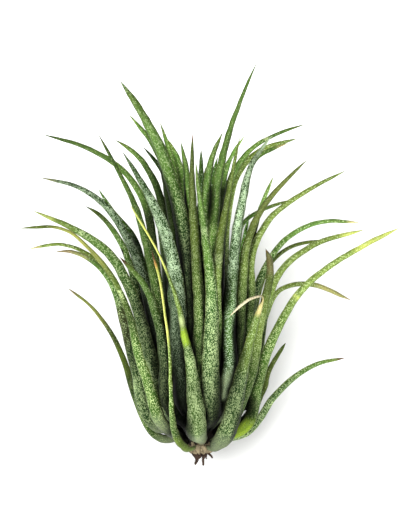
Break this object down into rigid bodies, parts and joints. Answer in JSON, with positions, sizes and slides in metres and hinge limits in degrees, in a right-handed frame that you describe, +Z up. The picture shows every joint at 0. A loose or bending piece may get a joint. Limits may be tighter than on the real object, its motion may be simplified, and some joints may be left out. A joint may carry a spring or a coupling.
{
  "type": "air plant",
  "caption": "Rosette of narrow channelled leaves on a short woody stem with dry root stubs, lying on its side.",
  "frame": {"origin": "on the surface, under the middle of the plant's outline seen from above", "axes": "+Y along the plant from its roots to its leaf tips, +X to the right seen from above, +Z up"},
  "size_m": [0.0952, 0.1006, 0.0474],
  "materials": {
    "leaf": "waxy green leaf, frosted with pale scales",
    "stem": "dry brown fibrous stem and roots"
  },
  "bodies": {
    "root": {"leaf_front_01": "leaf", "leaf_front_02": "leaf", "leaf_front_03": "leaf", "leaf_front_04": "leaf", "leaf_front_05": "leaf", "leaf_front_06": "leaf", "leaf_front_07": "leaf", "leaf_front_08": "leaf", "leaf_front_09": "leaf", "leaf_front_10": "leaf", "leaf_front_11": "leaf", "leaf_front_12": "leaf", "leaf_left_01": "leaf", "leaf_left_02": "leaf", "leaf_left_03": "leaf", "leaf_left_04": "leaf", "leaf_left_05": "leaf", "leaf_left_06": "leaf", "leaf_left_07": "leaf", "leaf_left_08": "leaf", "leaf_left_09": "leaf", "leaf_left_10": "leaf", "leaf_heart_01": "leaf", "leaf_heart_02": "leaf", "leaf_heart_03": "leaf", "leaf_heart_04": "leaf", "leaf_heart_05": "leaf", "leaf_heart_06": "leaf", "leaf_heart_07": "leaf", "leaf_heart_08": "leaf", "leaf_heart_09": "leaf", "leaf_heart_10": "leaf", "leaf_heart_11": "leaf", "leaf_heart_12": "leaf", "leaf_right_01": "leaf", "leaf_right_02": "leaf", "leaf_right_03": "leaf", "leaf_right_04": "leaf", "leaf_right_05": "leaf", "leaf_right_06": "leaf", "leaf_right_07": "leaf", "leaf_right_08": "leaf", "leaf_right_09": "leaf", "leaf_right_10": "leaf", "leaf_right_11": "leaf", "leaf_right_12": "leaf", "leaf_right_13": "leaf", "leaf_under_01": "leaf", "leaf_under_02": "leaf", "leaf_under_03": "leaf", "leaf_under_04": "leaf", "leaf_under_05": "leaf", "leaf_under_06": "leaf", "leaf_under_07": "leaf", "leaf_under_08": "leaf", "leaf_under_09": "leaf", "leaf_under_10": "leaf", "leaf_under_11": "leaf", "leaf_under_12": "leaf", "stem_with_roots": "stem"}
  },
  "joints": []
}
